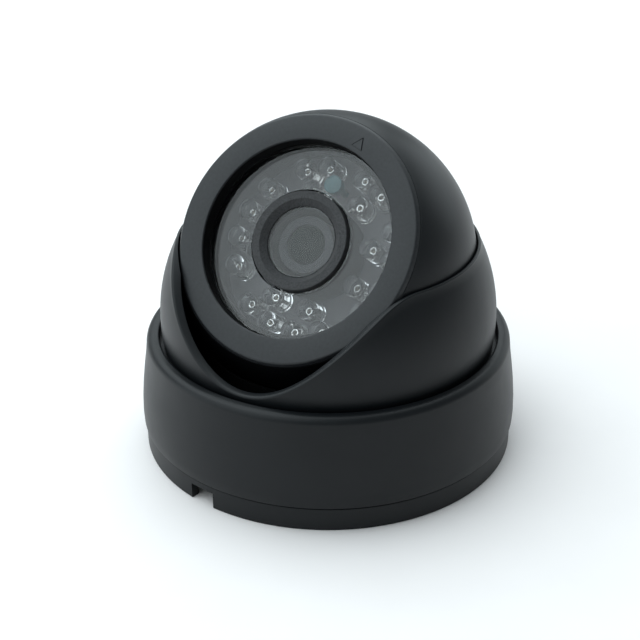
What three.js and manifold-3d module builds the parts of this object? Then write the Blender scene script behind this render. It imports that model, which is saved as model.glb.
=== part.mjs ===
// Plastic eyeball dome camera, millimetres, +Z up, standing on its mounting face.
// The lens looks towards -Y. A round base plate carries a cover ring that locks on by a
// bayonet. The cover ring holds a slotted swivel collar, and the collar holds a ball that
// carries the camera, its ring of infrared lamps and the flat front bezel.
import * as THREE from "three";
import { mergeVertices } from "three/addons/utils/BufferGeometryUtils.js";
import Module from "manifold-3d";

const wasm = await Module();
wasm.setup();

const DEG = Math.PI / 180;

// ---- driving dimensions -------------------------------------------------------------
const BASE_R = 47.0;
const BASE_RIM_TOP = 5.9;
const BASE_WALL = 2.2;
const FLOOR_BOTTOM = 4.6;
const FLOOR_TOP = 6.9;
const CABLE_HOLE_R = 9.0;

const NOTCH_WIDTH = 7.0;
const NOTCH_HEIGHT = 4.2;
const NOTCH_TURN = 11.65; // degrees from the lens direction towards -X

const COVER_BOTTOM = 6.25;
const COVER_TOP = 29.3;
const COVER_LIP_R = 42.5;

const COLLAR_R = 41.95; // sphere of the collar's outside
const COLLAR_CENTRE_Z = 33.8;
const COLLAR_WALL = 2.2;
const COLLAR_TOP = 53.7;
const COLLAR_FOOT = 10.4;
const FLANGE_R = 43.1;
const FLANGE_BOTTOM = 24.4;
const FLANGE_TOP = 26.5;
const SLOT_LOW = 30.35;
const SLOT_HALF_ANGLE = 62; // degrees either side of the slot's middle
const SLOT_TURN = -0.5; // degrees from the lens direction towards +X
const EDGE_ROUND = 0.9;

const BALL_R = 36.58;
const BALL_CENTRE_Z = 47.47;
const BALL_WALL = 2.3;
const LENS_ELEVATION = 36.8; // degrees above the horizon at rest
const BALL_CLEARANCE = 0.35;

// Heights inside the ball are measured along the lens axis from the ball's centre.
const FACE_HEIGHT = 21.0;
const FACE_BORE_R = 24.0;
const BEZEL_EDGE = 20.2;
const SHELL_MOUTH = 19.9;
const MOUTH_R = 28.75;
const WINDOW_BACK = 15.8;
const WINDOW_FRONT = 17.6;
const WINDOW_R = 23.85;
const WINDOW_HOLE_R = 12.6;
const WINDOW_LEDGE_R = 22.4;
const LED_BOARD_FRONT = 3.7;
const LED_BOARD_R = 28.2;
const BOARD_THICK = 1.5;
const LED_R = 2.5;
const LED_FLANGE_R = 2.85;
const LED_TIP = 12.3;
const OUTER_LEDS_AT = 20.5;
const INNER_LEDS_AT = 14.85;
const BOARD_ROLL = -7.3; // degrees, the lamp board's turn about the lens axis
const MARK_ROLL = -20.5; // degrees, the up mark's turn about the lens axis
const MAIN_BOARD_FRONT = -8.0;
const MAIN_BOARD_SIZE = 34;
const STANDOFF_AT = 13;
const LED_SCREWS_AT = 26.7;

const SEAT_INNER_R = 25.6;
const SEAT_OUTER_R = 31.0;
const SEAT_BOTTOM = 18.0;

// ---- materials ----------------------------------------------------------------------
function material(name, color, roughness, metalness = 0) {
  const made = new THREE.MeshStandardMaterial({ color, roughness, metalness });
  made.name = name;
  return made;
}

const BLACK_PLASTIC = material("black_plastic", 0x26272a, 0.5);
const BALL_PLASTIC = material("ball_plastic", 0x2b2c2f, 0.48);
const BEZEL_PLASTIC = material("bezel_plastic", 0x34353a, 0.6);
const RUBBER = material("rubber", 0x17181a, 0.9);
const SEAT_PLASTIC = material("seat_plastic", 0x3c3d40, 0.55);
const GLASS = material("glass", 0xdfe6e8, 0.08);
const CIRCUIT_BOARD = material("circuit_board", 0x55585a, 0.6);
const LED_RESIN = material("led_resin", 0xd8dde2, 0.12);
const PHOTOCELL = material("photocell_face", 0x5b8f94, 0.4);
const LENS_METAL = material("lens_metal", 0x202226, 0.4, 0.4);
const LENS_RING = material("lens_ring", 0x70747a, 0.35, 0.5);
const LENS_GLASS = material("lens_glass", 0x55625f, 0.1);
const SENSOR = material("sensor_face", 0x26323c, 0.25);
const STEEL = material("steel", 0x9fa4a8, 0.35, 0.9);
const BRASS = material("brass", 0xb99b55, 0.35, 0.9);

// ---- mesh helpers -------------------------------------------------------------------
function signedVolume(position, index) {
  const a = new THREE.Vector3();
  const b = new THREE.Vector3();
  const c = new THREE.Vector3();
  let total = 0;
  for (let i = 0; i < index.length; i += 3) {
    a.fromBufferAttribute(position, index[i]);
    b.fromBufferAttribute(position, index[i + 1]);
    c.fromBufferAttribute(position, index[i + 2]);
    total += a.dot(b.cross(c));
  }
  return total / 6;
}

// Joins equal corners, drops empty triangles and turns every face outward.
function weld(geometry) {
  const bare = geometry.clone();
  bare.deleteAttribute("normal");
  bare.deleteAttribute("uv");
  const merged = mergeVertices(bare, 1e-5);
  const index = [];
  for (let i = 0; i < merged.index.count; i += 3) {
    const a = merged.index.getX(i);
    const b = merged.index.getX(i + 1);
    const c = merged.index.getX(i + 2);
    if (a !== b && b !== c && c !== a) index.push(a, b, c);
  }
  if (signedVolume(merged.attributes.position, index) < 0) index.reverse();
  merged.setIndex(index);
  return merged;
}

function toManifold(geometry) {
  const solid = weld(geometry);
  const mesh = new wasm.Mesh({
    numProp: 3,
    vertProperties: Float32Array.from(solid.attributes.position.array),
    triVerts: Uint32Array.from(solid.index.array),
  });
  return new wasm.Manifold(mesh);
}

function fromManifold(solid) {
  const mesh = solid.getMesh();
  const geometry = new THREE.BufferGeometry();
  geometry.setAttribute("position", new THREE.BufferAttribute(mesh.vertProperties, 3));
  geometry.setIndex(new THREE.BufferAttribute(mesh.triVerts, 1));
  return geometry;
}

function union(first, ...others) {
  return fromManifold(others.reduce((sum, next) => sum.add(toManifold(next)), toManifold(first)));
}

function cut(first, ...others) {
  return fromManifold(
    others.reduce((rest, next) => rest.subtract(toManifold(next)), toManifold(first)));
}

// Profile points are [radius, height]; the result turns about +Z.
function revolve(profile, segments) {
  const points = profile.map(([radius, height]) => new THREE.Vector2(radius, height));
  return weld(new THREE.LatheGeometry(points, segments).rotateX(Math.PI / 2));
}

function closed(profile) {
  return [...profile, profile[0]];
}

// Points on a circle in the profile plane, both ends included.
function arc(centreR, centreH, radius, fromDeg, toDeg, steps) {
  const points = [];
  for (let i = 0; i <= steps; i += 1) {
    const angle = (fromDeg + ((toDeg - fromDeg) * i) / steps) * DEG;
    points.push([centreR + radius * Math.cos(angle), centreH + radius * Math.sin(angle)]);
  }
  return points;
}

function ring(inner, outer, low, high, segments) {
  return revolve(closed([[inner, low], [outer, low], [outer, high], [inner, high]]), segments);
}

function rod(radius, low, high, segments) {
  return revolve([[0, low], [radius, low], [radius, high], [0, high]], segments);
}

function box(width, depth, low, high, x = 0, y = 0) {
  const block = new THREE.BoxGeometry(width, depth, high - low);
  return weld(block.translate(x, y, (low + high) / 2));
}

// Part of a ring between two angles, measured in degrees from +X.
function ringPart(inner, outer, low, high, from, to) {
  const shape = new THREE.Shape();
  shape.absarc(0, 0, outer, from * DEG, to * DEG, false);
  shape.absarc(0, 0, inner, to * DEG, from * DEG, true);
  const options = { depth: high - low, bevelEnabled: false, curveSegments: 6 };
  return weld(new THREE.ExtrudeGeometry(shape, options).translate(0, 0, low));
}

function turned(geometry, degrees) {
  return geometry.clone().rotateZ(degrees * DEG);
}

function placedInBall(geometry) {
  const tip = (90 - LENS_ELEVATION) * DEG;
  return geometry.clone().rotateX(tip).translate(0, 0, BALL_CENTRE_Z);
}

function sphereRadiusAt(radius, offset) {
  return Math.sqrt(radius * radius - offset * offset);
}

// ---- base ---------------------------------------------------------------------------
const LUG_COUNT = 3;
const LUG_SPAN = 18;
const SPIGOT_R = 43.2;
const LUG_R = 44.6;

function basePlateBody() {
  const rimInner = BASE_R - BASE_WALL;
  return revolve(closed([
    [rimInner, 0],
    [BASE_R - 0.5, 0],
    [BASE_R, 0.5],
    [BASE_R, BASE_RIM_TOP - 0.3],
    [BASE_R - 0.3, BASE_RIM_TOP],
    [SPIGOT_R, BASE_RIM_TOP],
    [SPIGOT_R, 10.4],
    [41.7, 10.4],
    [41.7, FLOOR_TOP],
    [41.2, FLOOR_TOP],
    [41.2, 10.0],
    [38.4, 10.0],
    [38.4, FLOOR_TOP],
    [30.5, FLOOR_TOP],
    [30.5, SEAT_BOTTOM - 0.1],
    [26.2, SEAT_BOTTOM - 0.1],
    [26.2, FLOOR_TOP],
    [CABLE_HOLE_R, FLOOR_TOP],
    [CABLE_HOLE_R, 0],
    [CABLE_HOLE_R + 2, 0],
    [CABLE_HOLE_R + 2, FLOOR_BOTTOM],
    [rimInner, FLOOR_BOTTOM],
  ]), 48);
}

function notchCutter() {
  const gutter = box(NOTCH_WIDTH, BASE_R, -1, NOTCH_HEIGHT, 0, -BASE_R / 2 - 4);
  return turned(gutter, -NOTCH_TURN);
}

const SCREW_HOLE_AT = 34.3;
const SCREW_HOLE_ANGLES = [90, 210, 330];

function basePlate() {
  const additions = [];
  const cutters = [notchCutter()];
  for (let i = 0; i < LUG_COUNT; i += 1) {
    const start = 360 / LUG_COUNT * i + 30;
    additions.push(ringPart(SPIGOT_R - 0.6, LUG_R, 8.7, 10.4, start, start + LUG_SPAN));
  }
  for (const angle of SCREW_HOLE_ANGLES) {
    const x = SCREW_HOLE_AT * Math.cos(angle * DEG);
    const y = SCREW_HOLE_AT * Math.sin(angle * DEG);
    additions.push(rod(4.2, 0, FLOOR_BOTTOM + 0.5, 20).translate(x, y, 0));
    cutters.push(rod(2.2, -1, FLOOR_TOP + 1, 16).translate(x, y, 0));
  }
  return cut(union(basePlateBody(), ...additions), ...cutters);
}

// The ring the ball turns on: its hollow top follows the ball.
function ballSeat() {
  const follow = BALL_R + BALL_CLEARANCE;
  const innerAngle = -Math.acos(SEAT_INNER_R / follow) / DEG;
  const outerAngle = -Math.acos((SEAT_OUTER_R - 0.6) / follow) / DEG;
  return revolve(closed([
    [SEAT_INNER_R, SEAT_BOTTOM],
    [SEAT_OUTER_R, SEAT_BOTTOM],
    [SEAT_OUTER_R, BALL_CENTRE_Z - sphereRadiusAt(follow, SEAT_OUTER_R - 0.6)],
    ...arc(0, BALL_CENTRE_Z, follow, outerAngle, innerAngle, 3),
  ]), 48);
}

// ---- cover --------------------------------------------------------------------------
function coverBody() {
  return revolve(closed([
    [45.6, COVER_BOTTOM],
    [47.2, COVER_BOTTOM],
    [47.5, COVER_BOTTOM + 0.35],
    [47.62, 9.0],
    [47.5, 12.5],
    [47.15, 16.5],
    [46.65, 20.5],
    [46.05, 24.5],
    ...arc(43.75, COVER_TOP - 2.0, 2.0, 8, 90, 5),
    [43.0, COVER_TOP],
    [COVER_LIP_R, COVER_TOP - 0.4],
    [COVER_LIP_R, 27.0],
    [43.55, 26.9],
    [43.8, 24.5],
    [44.5, 18.0],
    [45.2, 12.5],
    [45.45, 8.6],
  ]), 48);
}

function coverRing() {
  const ribs = [];
  for (let i = 0; i < LUG_COUNT; i += 1) {
    const start = 360 / LUG_COUNT * i + 31;
    ribs.push(ringPart(43.6, 45.9, 6.4, 8.3, start, start + LUG_SPAN - 4));
  }
  return union(coverBody(), ...ribs);
}

// ---- swivel collar ------------------------------------------------------------------
function collarOuterR(z) {
  return sphereRadiusAt(COLLAR_R, z - COLLAR_CENTRE_Z);
}

function collarInnerR(z) {
  const evenWall = sphereRadiusAt(COLLAR_R - COLLAR_WALL, z - COLLAR_CENTRE_Z);
  const ballRoom = sphereRadiusAt(BALL_R + BALL_CLEARANCE, z - BALL_CENTRE_Z);
  return Math.max(evenWall, ballRoom);
}

// Height of the collar's upper edge: level, with a deep smooth dip in front of the lens.
function collarEdge(degreesFromSlot) {
  if (degreesFromSlot >= SLOT_HALF_ANGLE) return COLLAR_TOP;
  const dip = (1 + Math.cos((Math.PI * degreesFromSlot) / SLOT_HALF_ANGLE)) / 2;
  return COLLAR_TOP - (COLLAR_TOP - SLOT_LOW) * dip;
}

function collarProfile(edge) {
  const rows = 5;
  const points = [[38.7, COLLAR_FOOT], [40.9, COLLAR_FOOT], [40.9, FLANGE_BOTTOM]];
  points.push([FLANGE_R, FLANGE_BOTTOM], [FLANGE_R, FLANGE_TOP]);
  const roundStart = edge - EDGE_ROUND;
  for (let i = 0; i <= rows; i += 1) {
    const z = FLANGE_TOP + ((roundStart - FLANGE_TOP) * i) / rows;
    points.push([collarOuterR(z), z]);
  }
  const outside = collarOuterR(roundStart);
  const inside = collarInnerR(edge - 0.3);
  const thickness = outside - inside;
  points.push([outside - 0.12 * thickness, edge - EDGE_ROUND * 0.45]);
  points.push([outside - 0.38 * thickness, edge - EDGE_ROUND * 0.1]);
  points.push([outside - 0.75 * thickness, edge]);
  points.push([inside, edge - 0.3]);
  for (let i = 1; i <= rows; i += 1) {
    const z = edge - 0.3 + ((FLANGE_BOTTOM - edge + 0.3) * i) / rows;
    points.push([collarInnerR(z), z]);
  }
  return points;
}

function swivelCollar() {
  const columns = 72;
  const positions = [];
  const index = [];
  let count = 0;
  for (let i = 0; i < columns; i += 1) {
    const degrees = (360 * i) / columns;
    const fromSlot = Math.min(degrees, 360 - degrees);
    const profile = collarProfile(collarEdge(fromSlot));
    const turn = (-90 + SLOT_TURN + degrees) * DEG;
    count = profile.length;
    for (const [radius, z] of profile) {
      positions.push(radius * Math.cos(turn), radius * Math.sin(turn), z);
    }
  }
  for (let i = 0; i < columns; i += 1) {
    const next = (i + 1) % columns;
    for (let j = 0; j < count; j += 1) {
      const up = (j + 1) % count;
      const corners = [i * count + j, next * count + j, next * count + up, i * count + up];
      index.push(corners[0], corners[1], corners[2], corners[0], corners[2], corners[3]);
    }
  }
  const geometry = new THREE.BufferGeometry();
  geometry.setAttribute("position", new THREE.Float32BufferAttribute(positions, 3));
  geometry.setIndex(index);
  return weld(geometry);
}

// ---- ball shell and bezel -----------------------------------------------------------
const BALL_CABLE_HOLE_R = 4.5;
const BALL_CABLE_TURN = 37.5; // degrees from straight behind the lens, towards the base

function rearShell() {
  const mouthAngle = Math.asin(SHELL_MOUTH / BALL_R) / DEG;
  const hollowR = BALL_R - BALL_WALL;
  const mouthStep = 13.5;
  const stepAngle = Math.asin(mouthStep / hollowR) / DEG;
  const body = revolve([
    ...arc(0, 0, BALL_R, -90, mouthAngle, 14),
    [MOUTH_R, SHELL_MOUTH],
    [MOUTH_R, mouthStep],
    ...arc(0, 0, hollowR, stepAngle, -90, 9),
  ], 44);
  const hole = rod(BALL_CABLE_HOLE_R, -BALL_R - 2, -BALL_R + 8, 24);
  hole.rotateX(-BALL_CABLE_TURN * DEG);
  return cut(body, hole);
}

// A small arrowhead sunk in the bezel shows which way is up.
function upMark() {
  const shape = new THREE.Shape();
  shape.moveTo(-1.55, 25.2);
  shape.lineTo(1.55, 25.2);
  shape.lineTo(0, 28.0);
  const options = { depth: 2, bevelEnabled: false };
  const prism = new THREE.ExtrudeGeometry(shape, options).translate(0, 0, FACE_HEIGHT - 0.35);
  return turned(weld(prism), MARK_ROLL);
}

function frontBezel() {
  const edgeTop = 20.7;
  const topAngle = Math.asin(edgeTop / BALL_R) / DEG;
  const lowAngle = Math.asin(BEZEL_EDGE / BALL_R) / DEG;
  const body = revolve(closed([
    [FACE_BORE_R + 0.25, FACE_HEIGHT],
    [FACE_BORE_R, FACE_HEIGHT - 0.25],
    [WINDOW_R + 0.15, WINDOW_FRONT],
    [WINDOW_R + 0.15, WINDOW_BACK - 0.05],
    [WINDOW_LEDGE_R, WINDOW_BACK - 0.05],
    [WINDOW_LEDGE_R, WINDOW_BACK - 0.75],
    [24.95, WINDOW_BACK - 0.75],
    [24.95, LED_BOARD_FRONT + 0.05],
    [28.4, LED_BOARD_FRONT + 0.05],
    [28.4, 15.6],
    [27.3, 15.6],
    [27.3, 17.2],
    [28.4, 17.2],
    [28.4, BEZEL_EDGE],
    ...arc(0, 0, BALL_R, lowAngle, topAngle, 2),
    [29.75, FACE_HEIGHT],
  ]), 48);
  return cut(body, upMark());
}

function bezelSealRing() {
  return revolve(closed(arc(28.0, 16.4, 0.62, 0, 300, 5)), 40);
}

// The clear plate over the lamps is a ring glued on a ledge inside the bezel, and the lens
// sleeve comes through its middle.
function frontWindow() {
  return ring(WINDOW_HOLE_R, WINDOW_R, WINDOW_BACK, WINDOW_FRONT, 48);
}

// ---- lamps and boards ---------------------------------------------------------------
function ledBoard() {
  return ring(9.0, LED_BOARD_R, LED_BOARD_FRONT - BOARD_THICK, LED_BOARD_FRONT, 48);
}

function ledLamp() {
  const foot = LED_BOARD_FRONT + 0.05;
  return revolve([
    [0, foot],
    [LED_FLANGE_R, foot],
    [LED_FLANGE_R, foot + 1],
    [LED_R, foot + 1],
    ...arc(0, LED_TIP - LED_R, LED_R, 0, 90, 2),
  ], 10);
}

// Lamp places as [radius, angle from the board's own up], seen from the front.
function ledPlaces() {
  const places = [];
  for (const side of [0, 90, 180, 270]) {
    const spread = side === 0 ? [-31, -14, 14, 31] : [-30, -10, 10, 30];
    for (const step of spread) places.push([OUTER_LEDS_AT, side + step]);
    const pair = side === 0 ? 26 : 19;
    places.push([INNER_LEDS_AT, side - pair], [INNER_LEDS_AT, side + pair]);
  }
  return places;
}

function atBoardPlace(geometry, radius, fromUp) {
  const angle = (90 + BOARD_ROLL + fromUp) * DEG;
  return geometry.clone().translate(radius * Math.cos(angle), radius * Math.sin(angle), 0);
}

// The light sensor is a thin disc held up level with the lamps by its stem.
function photocell() {
  const cell = revolve([
    [0, LED_BOARD_FRONT + 0.05],
    [0.9, LED_BOARD_FRONT + 0.05],
    [0.9, 9.9],
    [2.3, 9.9],
    [2.3, 11.8],
    [2.1, 12.0],
    [0, 12.0],
  ], 16);
  return atBoardPlace(cell, 16.0, 2);
}

function ledBoardScrew() {
  const back = LED_BOARD_FRONT - BOARD_THICK - 0.05;
  return revolve([[0, back - 1.2], [1.0, back - 1.2], [1.5, back - 0.7], [1.5, back], [0, back]], 12);
}

function mainBoard() {
  const half = MAIN_BOARD_SIZE / 2;
  const corner = 4;
  const shape = new THREE.Shape();
  shape.moveTo(-half + corner, -half);
  shape.lineTo(half - corner, -half);
  shape.lineTo(half, -half + corner);
  shape.lineTo(half, half - corner);
  shape.lineTo(half - corner, half);
  shape.lineTo(-half + corner, half);
  shape.lineTo(-half, half - corner);
  shape.lineTo(-half, -half + corner);
  const options = { depth: BOARD_THICK, bevelEnabled: false };
  const board = new THREE.ExtrudeGeometry(shape, options);
  return weld(board.translate(0, 0, MAIN_BOARD_FRONT - BOARD_THICK));
}

function imageSensor() {
  return box(7, 5.6, MAIN_BOARD_FRONT + 0.05, MAIN_BOARD_FRONT + 1.2);
}

function standoff() {
  const high = LED_BOARD_FRONT - BOARD_THICK - 0.05;
  return rod(2.2, MAIN_BOARD_FRONT + 0.05, high, 6);
}

function boardScrew() {
  const back = MAIN_BOARD_FRONT - BOARD_THICK - 0.05;
  return revolve([[0, back - 1.4], [1.5, back - 1.3], [2.1, back - 0.7], [2.1, back], [0, back]], 12);
}

// ---- lens ---------------------------------------------------------------------------
function lensHolder() {
  const low = MAIN_BOARD_FRONT + 0.05;
  const foot = box(16, 16, low, low + 4);
  const tube = rod(7.9, low, 5.5, 32);
  const bore = rod(6.35, low + 2, 8, 32);
  const pocket = box(10, 9, low - 1, low + 2.5);
  return cut(union(foot, tube), bore, pocket);
}

function lensBarrel() {
  return revolve([
    [0, -3.5],
    [6.0, -3.5],
    [6.0, 7.0],
    [7.0, 7.6],
    [7.0, 13.1],
    [4.9, 13.1],
    [4.9, 11.4],
    [0, 11.4],
  ], 32);
}

function lensFrontRing() {
  return ring(4.95, 7.0, 13.15, 13.8, 32);
}

function lensFrontGlass() {
  const bulge = 12;
  const edge = Math.asin(4.75 / bulge) / DEG;
  return revolve([[0, 11.5], [4.75, 11.5], ...arc(0, 13.6 - bulge, bulge, 90 - edge, 90, 3)], 24);
}

// A rubber tube round the lens keeps lamp light out. It stands on the lamp board, passes
// through the window's hole and holds the lens's own cover glass near its front.
function lensSleeve() {
  return revolve(closed([
    [8.2, LED_BOARD_FRONT + 0.05],
    [11.6, LED_BOARD_FRONT + 0.05],
    [11.6, 12.2],
    [12.1, 12.5],
    [12.1, 18.15],
    [11.8, 18.5],
    [10.6, 18.5],
    [10.25, 18.15],
    [8.75, 17.0],
    [8.75, 15.65],
    [8.2, 15.65],
  ]), 36);
}

function lensCover() {
  return rod(8.6, 15.7, 16.95, 32);
}

// ---- assembly -----------------------------------------------------------------------
const group = new THREE.Group();
group.name = "dome_cctv_camera";

function addPart(name, geometry, look) {
  const flat = geometry.index ? geometry.toNonIndexed() : geometry;
  flat.computeVertexNormals();
  const mesh = new THREE.Mesh(flat, look);
  mesh.name = name;
  group.add(mesh);
}

function addInBall(name, geometry, look) {
  addPart(name, placedInBall(geometry), look);
}

function number(i) {
  return String(i + 1).padStart(2, "0");
}

addPart("base_plate", basePlate(), BLACK_PLASTIC);
addPart("ball_seat", ballSeat(), SEAT_PLASTIC);
addPart("cover_ring", coverRing(), BLACK_PLASTIC);
addPart("swivel_collar", swivelCollar(), BLACK_PLASTIC);

addInBall("rear_shell", rearShell(), BALL_PLASTIC);
addInBall("front_bezel", frontBezel(), BEZEL_PLASTIC);
addInBall("bezel_seal", bezelSealRing(), RUBBER);
addInBall("front_window", frontWindow(), GLASS);
addInBall("lens_sleeve", lensSleeve(), RUBBER);
addInBall("lens_cover", lensCover(), GLASS);
addInBall("led_board", ledBoard(), CIRCUIT_BOARD);
ledPlaces().forEach(([radius, fromUp], i) => {
  addInBall(`led_${number(i)}`, atBoardPlace(ledLamp(), radius, fromUp), LED_RESIN);
});
addInBall("photocell", photocell(), PHOTOCELL);
[30, 150, 270].forEach((angle, i) => {
  const screw = turned(ledBoardScrew().translate(LED_SCREWS_AT, 0, 0), angle + BOARD_ROLL);
  addInBall(`led_board_screw_${number(i)}`, screw, STEEL);
});

addInBall("main_board", turned(mainBoard(), BOARD_ROLL), CIRCUIT_BOARD);
addInBall("image_sensor", turned(imageSensor(), BOARD_ROLL), SENSOR);
addInBall("lens_holder", turned(lensHolder(), BOARD_ROLL), LENS_METAL);
[[1, 1], [-1, 1], [-1, -1], [1, -1]].forEach(([sideX, sideY], i) => {
  const x = STANDOFF_AT * sideX;
  const y = STANDOFF_AT * sideY;
  addInBall(`standoff_${number(i)}`, turned(standoff().translate(x, y, 0), BOARD_ROLL), BRASS);
  addInBall(`board_screw_${number(i)}`, turned(boardScrew().translate(x, y, 0), BOARD_ROLL), STEEL);
});

addInBall("lens_barrel", lensBarrel(), LENS_METAL);
addInBall("lens_front_ring", lensFrontRing(), LENS_RING);
addInBall("lens_glass", lensFrontGlass(), LENS_GLASS);

export default group;
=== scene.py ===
# A plastic eyeball dome camera on a pale studio floor.
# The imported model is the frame; the parts that show are rebuilt here with finer meshes and
# every part gets a procedural material.
import math

import bmesh
import bpy
from mathutils import Matrix, Vector


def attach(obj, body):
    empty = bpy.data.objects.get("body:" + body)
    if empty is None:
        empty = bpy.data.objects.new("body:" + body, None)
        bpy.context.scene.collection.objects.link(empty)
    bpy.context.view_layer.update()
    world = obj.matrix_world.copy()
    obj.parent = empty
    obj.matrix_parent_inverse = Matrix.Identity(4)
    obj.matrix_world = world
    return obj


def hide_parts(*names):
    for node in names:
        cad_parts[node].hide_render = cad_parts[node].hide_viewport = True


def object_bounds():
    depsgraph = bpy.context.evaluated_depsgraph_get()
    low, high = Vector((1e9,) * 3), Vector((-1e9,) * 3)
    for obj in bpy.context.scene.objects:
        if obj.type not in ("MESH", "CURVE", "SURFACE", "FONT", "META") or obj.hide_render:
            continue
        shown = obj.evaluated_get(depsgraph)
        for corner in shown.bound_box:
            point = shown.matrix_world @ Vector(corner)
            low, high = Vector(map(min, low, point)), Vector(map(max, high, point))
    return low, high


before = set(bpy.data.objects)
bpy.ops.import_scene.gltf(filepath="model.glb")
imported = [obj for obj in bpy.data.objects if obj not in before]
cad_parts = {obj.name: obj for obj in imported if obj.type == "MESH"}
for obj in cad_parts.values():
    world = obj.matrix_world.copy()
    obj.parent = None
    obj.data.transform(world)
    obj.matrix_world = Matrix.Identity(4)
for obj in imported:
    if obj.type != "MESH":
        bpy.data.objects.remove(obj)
CAD_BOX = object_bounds()

MM = 0.001
DEG = math.pi / 180

# ---- dimensions of the frame that the finer meshes repeat, in millimetres ----
BASE_R = 47.0
BASE_RIM_TOP = 5.9
NOTCH_WIDTH = 7.0
NOTCH_HEIGHT = 4.2
NOTCH_TURN = 11.65
COVER_BOTTOM = 6.25
COVER_TOP = 29.3
COLLAR_R = 41.95
COLLAR_CENTRE_Z = 33.8
COLLAR_WALL = 2.2
COLLAR_TOP = 53.7
SLOT_LOW = 30.35
SLOT_HALF_ANGLE = 62
SLOT_TURN = -0.5
BALL_R = 36.58
BALL_CENTRE_Z = 47.47
BALL_CLEARANCE = 0.35
LENS_ELEVATION = 36.8
MARK_ROLL = -20.5
BOARD_ROLL = -7.3
FACE_HEIGHT = 21.0
FACE_BORE_R = 24.0
BEZEL_EDGE = 20.1
SHELL_MOUTH = 19.9
SHELL_WALL = 2.3
SHELL_LAP_R = 28.75
SHELL_LAP_BACK = 13.5
WINDOW_BACK = 15.8
WINDOW_FRONT = 17.6
WINDOW_R = 23.85
WINDOW_HOLE_R = 12.6
WINDOW_LEDGE_R = 22.4
SLEEVE_R = 12.1
SLEEVE_FRONT = 18.5
LENS_COVER_R = 8.6
LENS_COVER_BACK = 15.7
LENS_COVER_FRONT = 16.95
LED_BOARD_FRONT = 3.7
LED_R = 2.5
LED_FLANGE_R = 2.85
LED_TIP = 12.3
LED_OUTER_RING = 20.5
LED_INNER_RING = 14.85

# ---- dimensions that only the finer meshes have, in millimetres ----
LINER_R = 24.2
LINER_TOP = 20.45
GROOVE_DEPTH = 0.3
COLLAR_LIP_HEIGHT = 0.6
CUP_FLOOR = 7.9
# Painted shade on the front of the ball, low in the collar's slot: its centre, and the distances
# where it begins and ends fading.
SHADE_PATCH_CENTRE = (-3, -35, 37)
SHADE_PATCH_FROM = 29
SHADE_PATCH_TO = 37

# ---- camera and light, in metres, degrees and radians ----
CAMERA_TURN = 28.2
CAMERA_REACH = 0.300
CAMERA_HEIGHT = 0.18679
CAMERA_DIP_RADIANS = 0.48
LIGHT_COLOR = (0.87, 0.965, 1.0)

IN_BALL = (
    Matrix.Translation((0, 0, BALL_CENTRE_Z * MM))
    @ Matrix.Rotation((90 - LENS_ELEVATION) * DEG, 4, "X")
)


# ---- mesh helpers ---------------------------------------------------------------
def new_object(name, vertices, faces, matrix=None):
    mesh = bpy.data.meshes.new(name)
    mesh.from_pydata([Vector(v) * MM for v in vertices], [], faces)
    if matrix is not None:
        mesh.transform(matrix)
    mesh.validate()
    obj = bpy.data.objects.new(name, mesh)
    bpy.context.scene.collection.objects.link(obj)
    return obj


def smooth(obj, angle=30):
    """Smooth shading, with edges sharper than the angle kept crisp."""
    for polygon in obj.data.polygons:
        polygon.use_smooth = True
    work = bmesh.new()
    work.from_mesh(obj.data)
    for edge in work.edges:
        if len(edge.link_faces) == 2:
            edge.smooth = edge.calc_face_angle(0.0) < angle * DEG
    work.to_mesh(obj.data)
    work.free()
    return obj


def weld_and_face_out(obj):
    work = bmesh.new()
    work.from_mesh(obj.data)
    bmesh.ops.remove_doubles(work, verts=work.verts, dist=1e-6)
    bmesh.ops.recalc_face_normals(work, faces=work.faces)
    work.to_mesh(obj.data)
    work.free()
    return obj


def arc(centre_r, centre_h, radius, start, end, steps):
    points = []
    for i in range(steps + 1):
        angle = (start + (end - start) * i / steps) * DEG
        points.append((centre_r + radius * math.cos(angle), centre_h + radius * math.sin(angle)))
    return points


def filleted(profile, radius, steps=4, is_closed=True):
    """The profile with each corner rounded by the radius, or by less where a side is short."""
    count = len(profile)
    points = []
    for i, here in enumerate(profile):
        at_end = not is_closed and i in (0, count - 1)
        before = Vector(profile[i - 1])
        corner = Vector(here)
        after = Vector(profile[(i + 1) % count])
        if at_end:
            points.append(tuple(corner))
            continue
        to_before = before - corner
        to_after = after - corner
        turn = math.pi - to_before.angle(to_after)
        if turn < 0.12:
            points.append(tuple(corner))
            continue
        reach = radius * math.tan(turn / 2)
        reach = min(reach, to_before.length * 0.45, to_after.length * 0.45)
        start = corner + to_before.normalized() * reach
        end = corner + to_after.normalized() * reach
        # A point just outside each end of the curve keeps the flat sides flat when shaded.
        hold = min(0.04, reach * 0.1)
        points.append(tuple(start + to_before.normalized() * hold))
        for k in range(steps + 1):
            t = k / steps
            point = start * (1 - t) ** 2 + corner * 2 * t * (1 - t) + end * t ** 2
            points.append(tuple(point))
        points.append(tuple(end + to_after.normalized() * hold))
    return points


def revolve(name, profile, segments=160, is_closed=True, matrix=None):
    """Turns (radius, height) points about +Z. An open profile starts and ends on the axis."""
    vertices = []
    rings = []
    for radius, height in profile:
        if radius < 1e-6:
            rings.append([len(vertices)] * segments)
            vertices.append((0, 0, height))
            continue
        rings.append(list(range(len(vertices), len(vertices) + segments)))
        for i in range(segments):
            angle = 2 * math.pi * i / segments
            vertices.append((radius * math.cos(angle), radius * math.sin(angle), height))
    faces = []
    last = len(rings) if is_closed else len(rings) - 1
    for j in range(last):
        low = rings[j]
        high = rings[(j + 1) % len(rings)]
        for i in range(segments):
            k = (i + 1) % segments
            corners = [low[i], low[k], high[k], high[i]]
            unique = list(dict.fromkeys(corners))
            if len(unique) > 2:
                faces.append(unique)
    obj = new_object(name, vertices, faces, matrix)
    return weld_and_face_out(obj)


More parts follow.
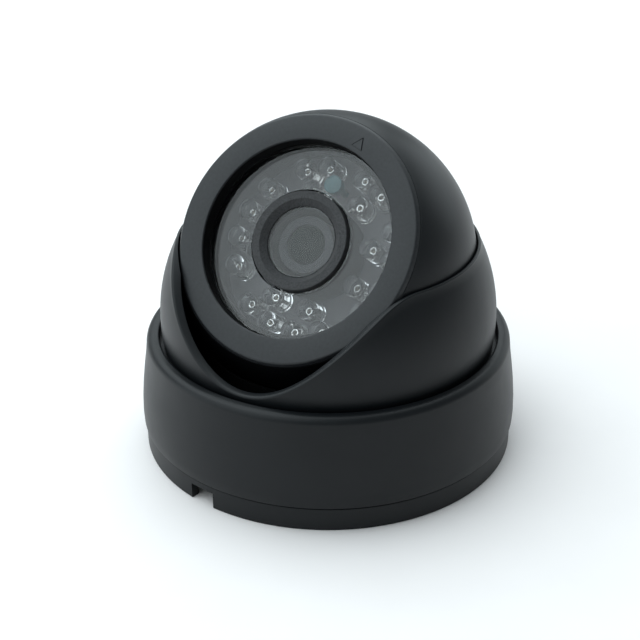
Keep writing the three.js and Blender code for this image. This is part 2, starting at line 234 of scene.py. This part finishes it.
def prism(name, outline, low, high, matrix=None):
    """A flat outline of (x, y) points pushed from one height to another."""
    count = len(outline)
    vertices = [(x, y, low) for x, y in outline] + [(x, y, high) for x, y in outline]
    faces = [list(range(count)), list(range(count, 2 * count))]
    for i in range(count):
        k = (i + 1) % count
        faces.append([i, k, count + k, count + i])
    return weld_and_face_out(new_object(name, vertices, faces, matrix))


def bevelled(obj, width):
    modifier = obj.modifiers.new("bevel", "BEVEL")
    modifier.width = width * MM
    modifier.segments = 2
    modifier.limit_method = "ANGLE"
    modifier.angle_limit = 40 * DEG
    return baked(obj)


def baked(obj):
    """Replaces the mesh by what its modifiers make of it."""
    graph = bpy.context.evaluated_depsgraph_get()
    graph.update()
    made = bpy.data.meshes.new_from_object(obj.evaluated_get(graph))
    obj.modifiers.clear()
    obj.data = made
    return obj


def carve(obj, *cutters):
    for cutter in cutters:
        modifier = obj.modifiers.new("cut", "BOOLEAN")
        modifier.operation = "DIFFERENCE"
        modifier.solver = "EXACT"
        modifier.object = cutter
        baked(obj)
        bpy.data.objects.remove(cutter)
    return obj


def copy_of(obj, name, matrix):
    twin = bpy.data.objects.new(name, obj.data)
    bpy.context.scene.collection.objects.link(twin)
    twin.matrix_world = matrix
    return twin


def finish_piece(obj, material, body, slot, *nodes):
    obj.data.materials.clear()
    obj.data.materials.append(material)
    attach(obj, body)
    if nodes:
        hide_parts(*nodes)


# ---- material helpers -----------------------------------------------------------
class Nodes:
    """A small builder for one material's node tree."""

    def __init__(self, name):
        self.material = bpy.data.materials.new(name)
        self.material.use_nodes = True
        self.tree = self.material.node_tree
        self.shader = self.tree.nodes["Principled BSDF"]
        self.place = self.tree.nodes.new("ShaderNodeTexCoord").outputs["Object"]

    def add(self, kind, **values):
        node = self.tree.nodes.new(kind)
        for key, value in values.items():
            setattr(node, key, value)
        return node

    def link(self, source, target):
        self.tree.links.new(source, target)

    def set(self, **values):
        for key, value in values.items():
            self.shader.inputs[key.replace("_", " ")].default_value = value

    def noise(self, scale, detail=3.0, roughness=0.5):
        node = self.add("ShaderNodeTexNoise")
        node.inputs["Scale"].default_value = scale
        node.inputs["Detail"].default_value = detail
        node.inputs["Roughness"].default_value = roughness
        self.link(self.place, node.inputs["Vector"])
        return node.outputs["Fac"]

    def cells(self, scale):
        node = self.add("ShaderNodeTexVoronoi")
        node.inputs["Scale"].default_value = scale
        self.link(self.place, node.inputs["Vector"])
        return node.outputs["Distance"]

    def ramp(self, source, stops):
        node = self.add("ShaderNodeValToRGB")
        while len(node.color_ramp.elements) < len(stops):
            node.color_ramp.elements.new(0.5)
        for element, (position, color) in zip(node.color_ramp.elements, stops):
            element.position = position
            element.color = (*color, 1)
        self.link(source, node.inputs["Fac"])
        return node.outputs["Color"]

    def spread(self, source, low, high):
        node = self.add("ShaderNodeMapRange")
        node.inputs["To Min"].default_value = low
        node.inputs["To Max"].default_value = high
        self.link(source, node.inputs["Value"])
        return node.outputs["Result"]

    def mix(self, factor, first, second):
        node = self.add("ShaderNodeMix", data_type="RGBA")
        self.link(factor, node.inputs["Factor"])
        self.link(first, node.inputs[6])
        self.link(second, node.inputs[7])
        return node.outputs[2]

    def bump(self, height, strength, distance, below=None):
        node = self.add("ShaderNodeBump")
        node.inputs["Strength"].default_value = strength
        node.inputs["Distance"].default_value = distance * MM
        self.link(height, node.inputs["Height"])
        if below is not None:
            self.link(below, node.inputs["Normal"])
        return node.outputs["Normal"]


def ball_plastic(name, dark, light):
    """The ball's black plastic, with painted shade in front, low in the collar's slot under the
    bezel: darker, rougher and less shiny round a point there.
    """
    nodes = Nodes(name)
    away = nodes.add("ShaderNodeVectorMath", operation="DISTANCE")
    away.inputs[1].default_value = Vector(SHADE_PATCH_CENTRE) * MM
    nodes.link(nodes.place, away.inputs[0])
    edge = nodes.add("ShaderNodeMapRange")
    edge.inputs["From Min"].default_value = SHADE_PATCH_FROM * MM
    edge.inputs["From Max"].default_value = SHADE_PATCH_TO * MM
    nodes.link(away.outputs["Value"], edge.inputs["Value"])
    outside_shade_patch = edge.outputs["Result"]
    patches = nodes.ramp(nodes.noise(55, 4), [(0.3, dark), (0.7, light)])
    # Painted shade: a near-black colour with more roughness and less shine round the centre, fading
    # out between the two distances.
    shade_patch_stops = [(0.3, (0.0012, 0.0014, 0.0017)), (0.7, (0.0020, 0.0023, 0.0027))]
    shade_patch_colour = nodes.ramp(nodes.noise(90, 3), shade_patch_stops)
    nodes.link(nodes.mix(outside_shade_patch, shade_patch_colour, patches), nodes.shader.inputs["Base Color"])
    nodes.link(nodes.spread(outside_shade_patch, 0.6, 0.41), nodes.shader.inputs["Roughness"])
    nodes.link(nodes.spread(outside_shade_patch, 0.06, 0.3), nodes.shader.inputs["Specular IOR Level"])
    coarse = nodes.bump(nodes.noise(730, 2), 0.07, 0.05)
    nodes.link(nodes.bump(nodes.noise(2600, 2), 0.12, 0.02, coarse), nodes.shader.inputs["Normal"])
    nodes.set(IOR=1.46)
    return nodes.material


def moulded_plastic(name, dark, light, rough, shine, grain_scale=2600, grain=0.12, mottle=55):
    """Satin black plastic: a fine spark-eroded grain, faint flow marks and dull patches."""
    nodes = Nodes(name)
    patches = nodes.noise(mottle, 4)
    nodes.link(nodes.ramp(patches, [(0.3, dark), (0.7, light)]), nodes.shader.inputs["Base Color"])
    blotches = nodes.noise(130, 5, 0.6)
    nodes.link(nodes.spread(blotches, rough - 0.05, rough + 0.06), nodes.shader.inputs["Roughness"])
    fine = nodes.noise(grain_scale, 2)
    coarse = nodes.noise(grain_scale * 0.28, 2)
    under = nodes.bump(coarse, grain * 0.6, 0.05)
    nodes.link(nodes.bump(fine, grain, 0.02, under), nodes.shader.inputs["Normal"])
    nodes.set(IOR=1.46)
    nodes.shader.inputs["Specular IOR Level"].default_value = shine
    return nodes.material


def granular_rubber(name):
    nodes = Nodes(name)
    grains = nodes.cells(4200)
    speckle = nodes.noise(3600, 3)
    dark = (0.018, 0.018, 0.019)
    light = (0.056, 0.057, 0.060)
    nodes.link(nodes.ramp(speckle, [(0.35, dark), (0.7, light)]), nodes.shader.inputs["Base Color"])
    nodes.link(nodes.spread(grains, 0.62, 0.9), nodes.shader.inputs["Roughness"])
    nodes.link(nodes.bump(grains, 0.7, 0.12), nodes.shader.inputs["Normal"])
    return nodes.material


def clear_plastic(name, tint, refraction):
    """Clear glass or resin with faint smears, kept glossy so that what is behind stays sharp."""
    nodes = Nodes(name)
    smears = nodes.noise(90, 4, 0.6)
    stops = [(0.3, tint), (0.8, (1, 1, 1))]
    nodes.link(nodes.ramp(smears, stops), nodes.shader.inputs["Base Color"])
    nodes.link(nodes.spread(smears, 0.0, 0.015), nodes.shader.inputs["Roughness"])
    nodes.set(IOR=refraction)
    nodes.shader.inputs["Transmission Weight"].default_value = 1.0
    return nodes.material


def coated_lens(name):
    """The dark mouth of a coated lens: nearly black, with a faint green cast."""
    nodes = Nodes(name)
    haze = nodes.noise(200, 3)
    stops = [(0.3, (0.004, 0.006, 0.005)), (0.8, (0.010, 0.014, 0.012))]
    nodes.link(nodes.ramp(haze, stops), nodes.shader.inputs["Base Color"])
    nodes.link(nodes.spread(haze, 0.05, 0.12), nodes.shader.inputs["Roughness"])
    nodes.set(IOR=1.12)
    return nodes.material


def circuit_coating(name, dark, light):
    """Solder resist over copper: a mottled flat colour with faint track edges."""
    nodes = Nodes(name)
    mottle = nodes.noise(160, 5, 0.65)
    nodes.link(nodes.ramp(mottle, [(0.3, dark), (0.75, light)]), nodes.shader.inputs["Base Color"])
    nodes.link(nodes.spread(mottle, 0.35, 0.55), nodes.shader.inputs["Roughness"])
    tracks = nodes.cells(420)
    nodes.link(nodes.bump(tracks, 0.15, 0.05), nodes.shader.inputs["Normal"])
    return nodes.material


def plain_metal(name, dark, light, rough, metallic=1.0):
    nodes = Nodes(name)
    streaks = nodes.noise(300, 4)
    nodes.link(nodes.ramp(streaks, [(0.3, dark), (0.7, light)]), nodes.shader.inputs["Base Color"])
    nodes.link(nodes.spread(streaks, rough - 0.06, rough + 0.08), nodes.shader.inputs["Roughness"])
    nodes.link(nodes.bump(nodes.noise(1800, 2), 0.08, 0.02), nodes.shader.inputs["Normal"])
    nodes.set(Metallic=metallic)
    return nodes.material


def crinkled_metal(name, dark, light):
    """Stamped silver-plated lead frame, whose small dents catch the light as sparks."""
    nodes = Nodes(name)
    dents = nodes.noise(3500, 2, 0.5)
    nodes.link(nodes.ramp(dents, [(0.42, dark), (0.58, light)]), nodes.shader.inputs["Base Color"])
    nodes.link(nodes.spread(dents, 0.05, 0.25), nodes.shader.inputs["Roughness"])
    nodes.link(nodes.bump(dents, 1.0, 0.08), nodes.shader.inputs["Normal"])
    nodes.set(Metallic=1.0)
    return nodes.material


def photocell_face(name):
    """Teal ceramic with the zigzag of the light-sensitive track."""
    nodes = Nodes(name)
    wave = nodes.add("ShaderNodeTexWave", wave_type="BANDS", bands_direction="X")
    wave.inputs["Scale"].default_value = 330
    wave.inputs["Distortion"].default_value = 2.0
    nodes.link(nodes.place, wave.inputs["Vector"])
    stops = [(0.3, (0.03, 0.13, 0.145)), (0.8, (0.045, 0.165, 0.18))]
    nodes.link(nodes.ramp(wave.outputs["Fac"], stops), nodes.shader.inputs["Base Color"])
    nodes.link(nodes.spread(nodes.noise(600), 0.3, 0.45), nodes.shader.inputs["Roughness"])
    return nodes.material


BLACK = moulded_plastic(
    "black_plastic", (0.0044, 0.0056, 0.0068), (0.0058, 0.0072, 0.0086), 0.42, 0.3)
BALL_BLACK = ball_plastic("ball_plastic", (0.0044, 0.0056, 0.0070), (0.0060, 0.0074, 0.0090))
BEZEL_GREY = moulded_plastic(
    "bezel_plastic", (0.009, 0.0103, 0.012), (0.0145, 0.0163, 0.0188), 0.44, 0.5, 1900, 0.5, 1500)
MATT_SHADES = ((0.0022, 0.0024, 0.0027), (0.0034, 0.0037, 0.0040))
SEAT_BLACK = moulded_plastic("seat_plastic", *MATT_SHADES, 0.65, 0.1)
RUBBER = granular_rubber("sleeve_rubber")
MATT_BLACK = moulded_plastic("matt_black", *MATT_SHADES, 0.6, 0.12)
WINDOW = clear_plastic("window_clear", (0.94, 0.96, 0.97), 1.49)
LENS_COVER = clear_plastic("lens_cover_clear", (0.9, 0.93, 0.92), 1.45)
LED_RESIN = clear_plastic("led_resin", (0.95, 0.96, 0.98), 1.4)
LENS_GLASS = coated_lens("lens_glass")
BOARD = circuit_coating("circuit_board", (0.16, 0.155, 0.165), (0.23, 0.225, 0.24))
BACK_BOARD = circuit_coating("main_board", (0.03, 0.09, 0.05), (0.05, 0.13, 0.07))
LENS_BLACK = plain_metal("lens_black", (0.012, 0.012, 0.013), (0.022, 0.022, 0.024), 0.4, 0.3)
LENS_RING = plain_metal("lens_ring", (0.030, 0.029, 0.035), (0.038, 0.037, 0.044), 0.6, 0.0)
CUP_METAL = crinkled_metal("led_cup", (0.35, 0.34, 0.32), (0.98, 0.97, 0.94))
DIE = plain_metal("led_die", (0.25, 0.22, 0.14), (0.5, 0.44, 0.28), 0.3, 0.6)
SENSOR = plain_metal("sensor_face", (0.02, 0.03, 0.045), (0.04, 0.055, 0.075), 0.15, 0.2)
BRASS = plain_metal("brass", (0.55, 0.40, 0.16), (0.68, 0.52, 0.24), 0.3)
STEEL = plain_metal("steel", (0.45, 0.45, 0.47), (0.62, 0.62, 0.64), 0.3)
CELL = photocell_face("photocell_face")


# ---- base, cover and collar -----------------------------------------------------
def notch_cutter():
    half = NOTCH_WIDTH / 2
    outline = [(-half, -52), (half, -52), (half, -4), (-half, -4)]
    turn = Matrix.Rotation(-NOTCH_TURN * DEG, 4, "Z")
    return prism("notch", outline, -1, NOTCH_HEIGHT, turn)


def make_base_rim():
    profile = filleted([
        (44.8, 0), (BASE_R, 0), (BASE_R, BASE_RIM_TOP), (43.2, BASE_RIM_TOP),
        (43.2, 10.4), (41.7, 10.4), (41.7, 6.9), (41.2, 6.9), (41.2, 10.0), (38.4, 10.0),
        (38.4, 6.9), (30.5, 6.9), (30.5, 17.9), (26.2, 17.9), (26.2, 6.9), (9.0, 6.9),
        (9.0, 0), (11.0, 0), (11.0, 4.6), (44.8, 4.6),
    ], 0.35, 3)
    rim = revolve("base_plate_body", profile, 192)
    carve(rim, notch_cutter())
    smooth(rim)
    finish_piece(rim, BLACK, "base", "black_plastic", "base_plate")


def make_cover():
    profile = [
        (45.6, COVER_BOTTOM), (47.15, COVER_BOTTOM), (47.42, COVER_BOTTOM + 0.12),
        (47.52, COVER_BOTTOM + 0.45), (47.62, 9.0), (47.5, 12.5), (47.15, 16.5),
        (46.65, 20.5), (46.05, 24.5),
    ]
    profile += arc(43.75, COVER_TOP - 2.0, 2.0, 8, 90, 12)
    profile += filleted([
        (43.75, COVER_TOP), (42.5, COVER_TOP), (42.5, 27.0), (43.55, 26.9),
    ], 0.5, 5, False)[1:]
    profile += [(43.8, 24.5), (44.5, 18.0), (45.2, 12.5), (45.45, 8.6)]
    cover = smooth(revolve("cover_body", profile, 224), 40)
    finish_piece(cover, BLACK, "cover", "black_plastic", "cover_ring")


def sphere_radius(radius, offset):
    return math.sqrt(radius * radius - offset * offset)


def collar_outer(z):
    return sphere_radius(COLLAR_R, z - COLLAR_CENTRE_Z)


def collar_inner(z):
    even_wall = sphere_radius(COLLAR_R - COLLAR_WALL, z - COLLAR_CENTRE_Z)
    ball_room = sphere_radius(BALL_R + BALL_CLEARANCE, z - BALL_CENTRE_Z)
    return max(even_wall, ball_room)


def collar_edge(from_slot):
    if from_slot >= SLOT_HALF_ANGLE:
        return COLLAR_TOP
    dip = (1 + math.cos(math.pi * from_slot / SLOT_HALF_ANGLE)) / 2
    return COLLAR_TOP - (COLLAR_TOP - SLOT_LOW) * dip


def collar_profile(edge):
    """The wall's outline, up the outside and down the inside, where its top is at this height."""
    rows = 14
    points = [(38.7, 10.4), (40.9, 10.4), (40.9, 24.4), (43.1, 24.4), (43.1, 26.5)]
    round_start = edge - COLLAR_LIP_HEIGHT
    for i in range(rows + 1):
        z = 26.5 + (round_start - 26.5) * i / rows
        points.append((collar_outer(z), z))
    outside = collar_outer(round_start)
    inside = collar_inner(edge - 0.3)
    thickness = outside - inside
    for k in range(1, 8):
        angle = k / 8 * 90 * DEG
        across = outside - thickness * 0.35 * (1 - math.cos(angle))
        points.append((across, round_start + COLLAR_LIP_HEIGHT * math.sin(angle)))
    points.append((outside - 0.38 * thickness, edge))
    points.append((outside - 0.80 * thickness, edge))
    points.append((outside - 0.94 * thickness, edge - 0.06))
    points.append((inside, edge - 0.3))
    for i in range(1, rows + 1):
        z = edge - 0.3 + (24.4 - edge + 0.3) * i / rows
        points.append((collar_inner(z), z))
    return points


def make_collar():
    columns = 240
    count = len(collar_profile(COLLAR_TOP))
    vertices = []
    for i in range(columns):
        degrees = 360 * i / columns
        profile = collar_profile(collar_edge(min(degrees, 360 - degrees)))
        turn = (-90 + SLOT_TURN + degrees) * DEG
        for radius, z in profile:
            vertices.append((radius * math.cos(turn), radius * math.sin(turn), z))
    faces = []
    for i in range(columns):
        k = (i + 1) % columns
        for j in range(count):
            up = (j + 1) % count
            faces.append([i * count + j, k * count + j, k * count + up, i * count + up])
    collar = weld_and_face_out(new_object("collar_body", vertices, faces))
    finish_piece(smooth(collar, 35), BLACK, "collar", "black_plastic", "swivel_collar")


# ---- ball -----------------------------------------------------------------------
def make_shell():
    mouth = math.asin(SHELL_MOUTH / BALL_R) / DEG
    hollow = BALL_R - SHELL_WALL
    step = math.asin(SHELL_LAP_BACK / hollow) / DEG
    profile = arc(0, 0, BALL_R, -90, mouth, 60)
    profile[0] = (0, -BALL_R)
    profile += [(SHELL_LAP_R, SHELL_MOUTH), (SHELL_LAP_R, SHELL_LAP_BACK)]
    inside = arc(0, 0, hollow, step, -90, 40)
    inside[-1] = (0, -hollow)
    shell = revolve("ball_shell", profile + inside, 192, False, IN_BALL)
    tilt = Matrix.Rotation(-37.5 * DEG, 4, "X")
    hole = revolve(
        "hole", [(0, -BALL_R - 2), (4.5, -BALL_R - 2), (4.5, -BALL_R + 8), (0, -BALL_R + 8)],
        64, False, IN_BALL @ tilt)
    carve(shell, hole)
    finish_piece(smooth(shell, 35), BALL_BLACK, "ball", "ball_plastic", "rear_shell")


def up_mark_cutters():
    """Thin grooves along the arrowhead's three sides, the base side fainter."""
    corners = [(-1.5, 25.2), (1.5, 25.2), (0, 28.0)]
    half_widths = [0.05, 0.14, 0.07]
    turn = IN_BALL @ Matrix.Rotation(MARK_ROLL * DEG, 4, "Z")
    cutters = []
    for i in range(3):
        start = Vector(corners[i])
        end = Vector(corners[(i + 1) % 3])
        along = (end - start).normalized()
        side = Vector((-along.y, along.x)) * half_widths[i]
        outline = [tuple(p) for p in (start - side, end - side, end + side, start + side)]
        low = FACE_HEIGHT - GROOVE_DEPTH
        cutters.append(prism("groove", outline, low, FACE_HEIGHT + 1, turn))
    return cutters


def make_bezel():
    edge_low = math.asin(BEZEL_EDGE / BALL_R) / DEG
    edge_high = math.asin(20.7 / BALL_R) / DEG
    profile = [(28.4, BEZEL_EDGE)] + arc(0, 0, BALL_R, edge_low, edge_high, 8)
    profile += [(30.0, 20.87), (29.82, 20.96), (29.6, FACE_HEIGHT)]
    profile += [(26.8, FACE_HEIGHT), (24.35, FACE_HEIGHT), (24.15, 20.96), (24.03, 20.86)]
    profile += [(FACE_BORE_R, 20.6), (FACE_BORE_R, LINER_TOP), (LINER_R, LINER_TOP)]
    profile += [(LINER_R, WINDOW_BACK - 0.15), (WINDOW_LEDGE_R, WINDOW_BACK - 0.15)]
    profile += [(WINDOW_LEDGE_R, WINDOW_BACK - 0.75)]
    profile += [(24.95, WINDOW_BACK - 0.75), (24.95, 3.75), (28.4, 3.75), (28.4, 15.6)]
    profile += [(27.3, 15.6), (27.3, 17.2), (28.4, 17.2)]
    bezel = revolve("bezel_body", profile, 224, True, IN_BALL)
    carve(bezel, *up_mark_cutters())
    finish_piece(smooth(bezel, 35), BEZEL_GREY, "ball", "bezel_plastic", "front_bezel")


def make_bore_liner():
    """A matt black gasket lines the bore, grips the window's edge and carries it on a lip."""
    profile = [(FACE_BORE_R - 0.05, LINER_TOP - 0.02), (FACE_BORE_R - 0.05, WINDOW_FRONT),
               (WINDOW_R - 0.12, WINDOW_FRONT - 0.03), (WINDOW_R - 0.12, WINDOW_BACK - 0.01),
               (WINDOW_LEDGE_R, WINDOW_BACK - 0.01), (WINDOW_LEDGE_R, WINDOW_BACK - 0.14),
               (LINER_R - 0.01, WINDOW_BACK - 0.14), (LINER_R - 0.01, LINER_TOP - 0.02)]
    liner = smooth(revolve("bore_liner", profile, 160, True, IN_BALL))
    finish_piece(liner, MATT_BLACK, "ball", "black_plastic")


def make_window():
    profile = filleted([
        (WINDOW_HOLE_R, WINDOW_BACK), (WINDOW_R, WINDOW_BACK),
        (WINDOW_R, WINDOW_FRONT), (WINDOW_HOLE_R, WINDOW_FRONT),
    ], 0.2, 3)
    window = smooth(revolve("window_plate", profile, 160, True, IN_BALL))
    finish_piece(window, WINDOW, "ball", "glass", "front_window")


def make_sleeve():
    profile = filleted([
        (8.2, 3.75), (11.6, 3.75), (11.6, 12.2), (SLEEVE_R, 12.5), (SLEEVE_R, SLEEVE_FRONT),
        (10.2, SLEEVE_FRONT),
        (8.75, 17.0), (8.75, 15.65), (8.2, 15.65),
    ], 0.2, 4)
    sleeve = smooth(revolve("sleeve_body", profile, 128, True, IN_BALL), 50)
    finish_piece(sleeve, RUBBER, "ball", "rubber", "lens_sleeve")


def make_lens_cover():
    profile = filleted([
        (0, LENS_COVER_BACK), (LENS_COVER_R, LENS_COVER_BACK),
        (LENS_COVER_R, LENS_COVER_FRONT), (0, LENS_COVER_FRONT),
    ], 0.2, 3, False)
    cover = smooth(revolve("lens_cover_glass", profile, 96, False, IN_BALL))
    finish_piece(cover, LENS_COVER, "ball", "glass", "lens_cover")


def led_profile():
    foot = LED_BOARD_FRONT + 0.05
    profile = [(0, foot), (LED_FLANGE_R, foot), (LED_FLANGE_R, foot + 0.9),
               (LED_FLANGE_R - 0.1, foot + 1.0), (LED_R, foot + 1.0)]
    dome = arc(0, LED_TIP - LED_R, LED_R, 0, 90, 14)
    dome[-1] = (0, LED_TIP)
    return profile + dome


def led_places():
    """Radius and angle from the top of each lamp: four outside and two inside on every side."""
    places = []
    for side in (0, 90, 180, 270):
        spread = (-31, -14, 14, 31) if side == 0 else (-30, -10, 10, 30)
        pair = 26 if side == 0 else 19
        places += [(LED_OUTER_RING, side + step) for step in spread]
        places += [(LED_INNER_RING, side - pair), (LED_INNER_RING, side + pair)]
    return places


def at_place(radius, from_up):
    angle = (90 + BOARD_ROLL + from_up) * DEG
    return Matrix.Translation((radius * math.cos(angle) * MM, radius * math.sin(angle) * MM, 0))


def rounded_post(name, x, y, half, top):
    """A round lead with a domed tip."""
    profile = [(0, LED_BOARD_FRONT + 0.1), (half, LED_BOARD_FRONT + 0.1)]
    profile += arc(0, top - half, half, 0, 90, 6)
    profile[-1] = (0, top)
    return smooth(revolve(name, profile, 12, False, Matrix.Translation((x * MM, y * MM, 0))))


def block(name, x_low, x_high, half_depth, low, high, edge):
    """A small rectangular block with bevelled edges, even about the X axis."""
    outline = [(x_low, -half_depth), (x_high, -half_depth),
               (x_high, half_depth), (x_low, half_depth)]
    return bevelled(prism(name, outline, low, high), edge)


def make_leds():
    """Each lamp is a resin dome over a bright cup with a small die, an anvil and a wire post."""
    dome = smooth(revolve("led_dome", led_profile(), 40, False), 35)
    rim = [(0.3, CUP_FLOOR), (0.24, 8.3), (0.36, 8.5), (0.52, 8.5), (0.62, 8.35), (0.55, 7.5)]
    cup = smooth(revolve("led_cup", [(0, CUP_FLOOR)] + rim + [(0, 7.5)], 28, False), 60)
    die = block("led_die", -0.15, 0.15, 0.15, 7.91, 8.02, 0.03)
    anvil = block("led_anvil", -1.3, 0.7, 0.3, LED_BOARD_FRONT + 0.1, 7.45, 0.08)
    wire_post = rounded_post("led_wire_post", 0.25, -1.15, 0.32, 8.2)
    looks = [
        (dome, LED_RESIN, "dome"),
        (cup, CUP_METAL, "cup"),
        (die, DIE, "die"),
        (anvil, CUP_METAL, "anvil"),
        (wire_post, CUP_METAL, "wire_post"),
    ]
    for i, (radius, from_up) in enumerate(led_places()):
        turn = Matrix.Rotation((i * 67 % 360) * DEG, 4, "Z")
        place = IN_BALL @ at_place(radius, from_up) @ turn
        for master, material, label in looks:
            piece = copy_of(master, f"led_{i + 1:02d}_{label}", place)
            nodes = [f"led_{i + 1:02d}"] if label == "dome" else []
            master.data.materials.clear()
            finish_piece(piece, material, "ball", "led_resin", *nodes)
    for master, _, _ in looks:
        bpy.data.objects.remove(master)


def make_photocell():
    profile = [(0, 3.75), (0.9, 3.75), (0.9, 9.9), (2.3, 9.9), (2.3, 11.7), (2.2, 11.9),
               (1.95, 12.0), (0, 12.0)]
    cell = smooth(revolve("photocell_body", profile, 48, False, IN_BALL @ at_place(16.0, 2)))
    finish_piece(cell, CELL, "ball", "photocell_face", "photocell")


def make_lens():
    front = filleted([(4.95, 13.15), (7.0, 13.15), (7.0, 13.8), (4.95, 13.8)], 0.04, 3)
    ring = smooth(revolve("lens_front_ring_body", front, 96, True, IN_BALL))
    finish_piece(ring, LENS_RING, "lens", "lens_ring", "lens_front_ring")
    bulge = 60
    edge = math.asin(4.75 / bulge) / DEG
    profile = [(0, 11.5), (4.75, 11.5)] + arc(0, 13.75 - bulge, bulge, 90 - edge, 90, 12)
    profile[-1] = (0, 13.75)
    glass = smooth(revolve("lens_front_glass", profile, 72, False, IN_BALL))
    finish_piece(glass, LENS_GLASS, "lens", "lens_glass", "lens_glass")


# ---- CAD nodes that stay --------------------------------------------------------
KEPT_LOOKS = {
    "ball_seat": SEAT_BLACK,
    "bezel_seal": RUBBER,
    "led_board": BOARD,
    "main_board": BACK_BOARD,
    "image_sensor": SENSOR,
    "lens_holder": LENS_BLACK,
    "lens_barrel": LENS_BLACK,
}


def dress_kept_nodes():
    for name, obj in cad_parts.items():
        look = KEPT_LOOKS.get(name)
        if name.startswith("standoff"):
            look = BRASS
        if "screw" in name:
            look = STEEL
        if look is not None:
            obj.data.materials.clear()
            obj.data.materials.append(look)


# ---- studio ---------------------------------------------------------------------
def softbox(name, size, brightness, place, target):
    """A rectangular light whose face has the given brightness, white paper being about 1."""
    light = bpy.data.lights.new(name, "AREA")
    light.shape = "RECTANGLE"
    light.size, light.size_y = size
    light.energy = brightness * math.pi * size[0] * size[1]
    light.color = LIGHT_COLOR
    obj = bpy.data.objects.new(name, light)
    bpy.context.scene.collection.objects.link(obj)
    obj.location = place
    obj.rotation_euler = (Vector(target) - Vector(place)).to_track_quat("-Z", "Y").to_euler()


def make_studio():
    low, high = CAD_BOX
    middle = (low + high) / 2
    floor = new_object("floor", [(-3000, -3000, 0), (3000, -3000, 0), (3000, 3000, 0),
                                 (-3000, 3000, 0)], [[0, 1, 2, 3]])
    nodes = Nodes("floor_paper")
    fibres = nodes.noise(40, 4)
    stops = [(0.3, (0.95, 0.91, 0.90)), (0.7, (0.97, 0.93, 0.92))]
    nodes.link(nodes.ramp(fibres, stops), nodes.shader.inputs["Base Color"])
    nodes.set(Roughness=0.8)
    floor.data.materials.append(nodes.material)
    face = Vector((0, 0, BALL_CENTRE_Z * MM))
    softbox("key_light", (1.0, 0.9), 1.35, face + Vector((-0.47, -0.6, 0.646)) * 0.72, face)
    softbox("top_light", (2.4, 2.4), 1.9, (-0.6, 0.5, 1.3), middle)
    softbox("left_light", (0.5, 0.12), 2.2, (-0.6, -0.3, 0.04), middle)
    softbox("back_light", (0.8, 0.5), 1.25, (0.3, 0.92, 0.32), middle)
    world = bpy.data.worlds.new("studio")
    bpy.context.scene.world = world
    world.use_nodes = True
    background = world.node_tree.nodes["Background"]
    background.inputs["Color"].default_value = (*LIGHT_COLOR, 1)
    background.inputs["Strength"].default_value = 0.25


def make_camera():
    camera = bpy.data.objects.new("camera", bpy.data.cameras.new("camera"))
    bpy.context.scene.collection.objects.link(camera)
    bpy.context.scene.camera = camera
    turn = CAMERA_TURN * DEG
    camera.location = (
        CAMERA_REACH * math.sin(turn), -CAMERA_REACH * math.cos(turn), CAMERA_HEIGHT)
    camera.rotation_euler = (math.pi / 2 - CAMERA_DIP_RADIANS, 0, turn)
    camera.data.sensor_width = 36
    camera.data.lens = 75.36
    camera.data.shift_x = -0.013
    camera.data.clip_start = 0.01
    camera.data.clip_end = 20


make_camera()
make_studio()
make_base_rim()
make_cover()
make_collar()
make_shell()
make_bezel()
make_bore_liner()
make_window()
make_sleeve()
make_lens_cover()
make_leds()
make_photocell()
make_lens()
dress_kept_nodes()
bpy.context.scene.view_settings.view_transform = "Standard"
